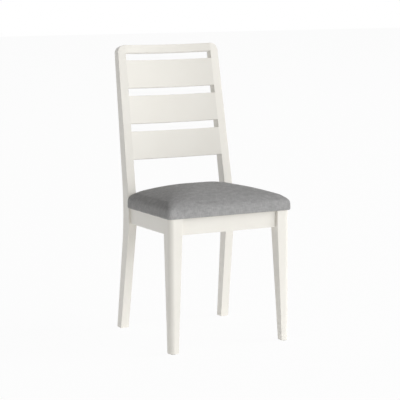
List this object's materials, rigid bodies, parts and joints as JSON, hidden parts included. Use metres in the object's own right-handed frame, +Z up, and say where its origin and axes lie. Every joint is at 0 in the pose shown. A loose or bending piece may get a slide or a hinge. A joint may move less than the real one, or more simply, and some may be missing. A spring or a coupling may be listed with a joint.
{
  "type": "dining chair",
  "caption": "Slat back dining chair: off-white painted wooden frame, wide bowed slats, raked rear legs, tapered front legs and a domed grey upholstered seat pad.",
  "frame": {"origin": "on the floor, at the middle of the chair's outline in plan", "axes": "+Z up, the sitter faces -Y, +X to the right of someone who looks at the chair's front"},
  "size_m": [0.4632, 0.5154, 0.9997],
  "materials": {
    "painted_wood": "satin off-white paint",
    "bare_wood": "bare planed hardwood",
    "plywood": "bare plywood",
    "seat_foam": "open-cell foam",
    "cover_fabric": "woven grey upholstery",
    "dust_cover_fabric": "black non-woven",
    "fastener_steel": "zinc plated",
    "glide_nylon": "nylon"
  },
  "bodies": {
    "root": {"back_post_left": "painted_wood", "back_post_right": "painted_wood", "corner_block_screws": "fastener_steel", "crest_rail": "painted_wood", "dust_cover": "dust_cover_fabric", "dust_cover_staples": "fastener_steel", "front_corner_block_left": "bare_wood", "front_corner_block_right": "bare_wood", "front_glide_left": "glide_nylon", "front_glide_right": "glide_nylon", "front_leg_left": "painted_wood", "front_leg_right": "painted_wood", "front_rail": "painted_wood", "lower_slat": "painted_wood", "middle_slat": "painted_wood", "rail_dowels": "bare_wood", "rear_corner_block_left": "bare_wood", "rear_corner_block_right": "bare_wood", "rear_glide_left": "glide_nylon", "rear_glide_right": "glide_nylon", "rear_rail": "painted_wood", "seat_board": "plywood", "seat_cover": "cover_fabric", "seat_foam": "seat_foam", "seat_screws": "fastener_steel", "side_rail_left": "painted_wood", "side_rail_right": "painted_wood", "upper_slat": "painted_wood"}
  },
  "joints": []
}
